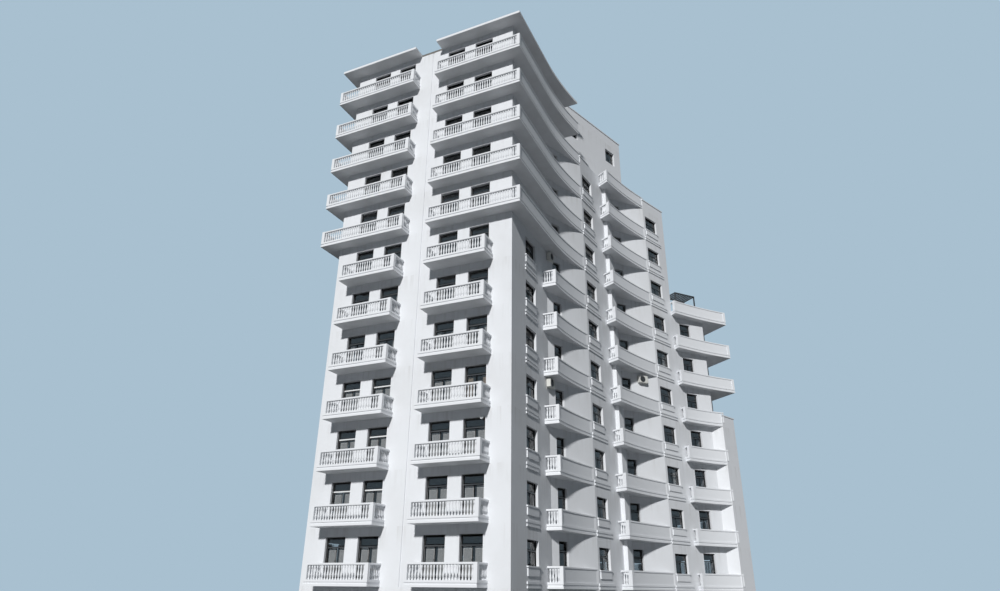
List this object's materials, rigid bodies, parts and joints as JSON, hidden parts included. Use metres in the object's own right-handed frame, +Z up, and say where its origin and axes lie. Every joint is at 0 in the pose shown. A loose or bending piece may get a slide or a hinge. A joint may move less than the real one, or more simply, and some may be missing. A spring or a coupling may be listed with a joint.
{
  "type": "apartment block, 1:10 scale model",
  "caption": "Tall stepped apartment block with turned balustrades on its front balconies and a curved, stepped side of long balconies; 1:10 scale model.",
  "frame": {"origin": "on the ground, under the middle of the model's box", "axes": "+Z up, the straight front faces -Y, the curved side faces +X"},
  "size_m": [2.3392, 3.7124, 4.156],
  "materials": {
    "white_render": "painted mineral render, matt",
    "grey_render": "painted mineral render, matt, weathered",
    "concrete": "plain concrete, matt",
    "roof_covering": "mineral felt, matt",
    "plinth_stone": "sawn stone, matt",
    "dark_frame": "powder coated, satin",
    "white_frame": "painted, satin",
    "window_glass": "clear float glass",
    "curtain": "woven, matt",
    "white_plastic": "moulded, matt"
  },
  "bodies": {
    "root": {"front_wall": "white_render", "side_wall": "white_render", "first_block_wall": "white_render", "first_bay_wall": "white_render", "second_block_wall": "white_render", "second_bay_wall": "white_render", "end_block_wall": "white_render", "end_wall": "grey_render", "back_wall_far": "grey_render", "back_wall_middle": "grey_render", "back_wall_near": "grey_render", "left_wall": "white_render", "setback_wall": "white_render", "upper_step_wall": "white_render", "lower_step_wall": "white_render", "floors": "concrete", "main_roof": "roof_covering", "parapet_copings": "white_render", "plinth_course": "plinth_stone", "canopies": "white_render", "narrow_slabs": "white_render", "narrow_balustrades": "white_render", "narrow_posts": "white_render", "wide_slabs": "white_render", "wide_balustrades": "white_render", "wide_side_panels": "white_render", "wide_posts": "white_render", "near_bay_slabs": "white_render", "near_bay_balustrades": "white_render", "first_bay_slabs": "white_render", "first_bay_balustrades": "white_render", "second_bay_slabs": "white_render", "second_bay_balustrades": "white_render", "window_aprons": "white_render", "window_bands": "white_render", "pergola": "dark_frame"}
  },
  "joints": []
}
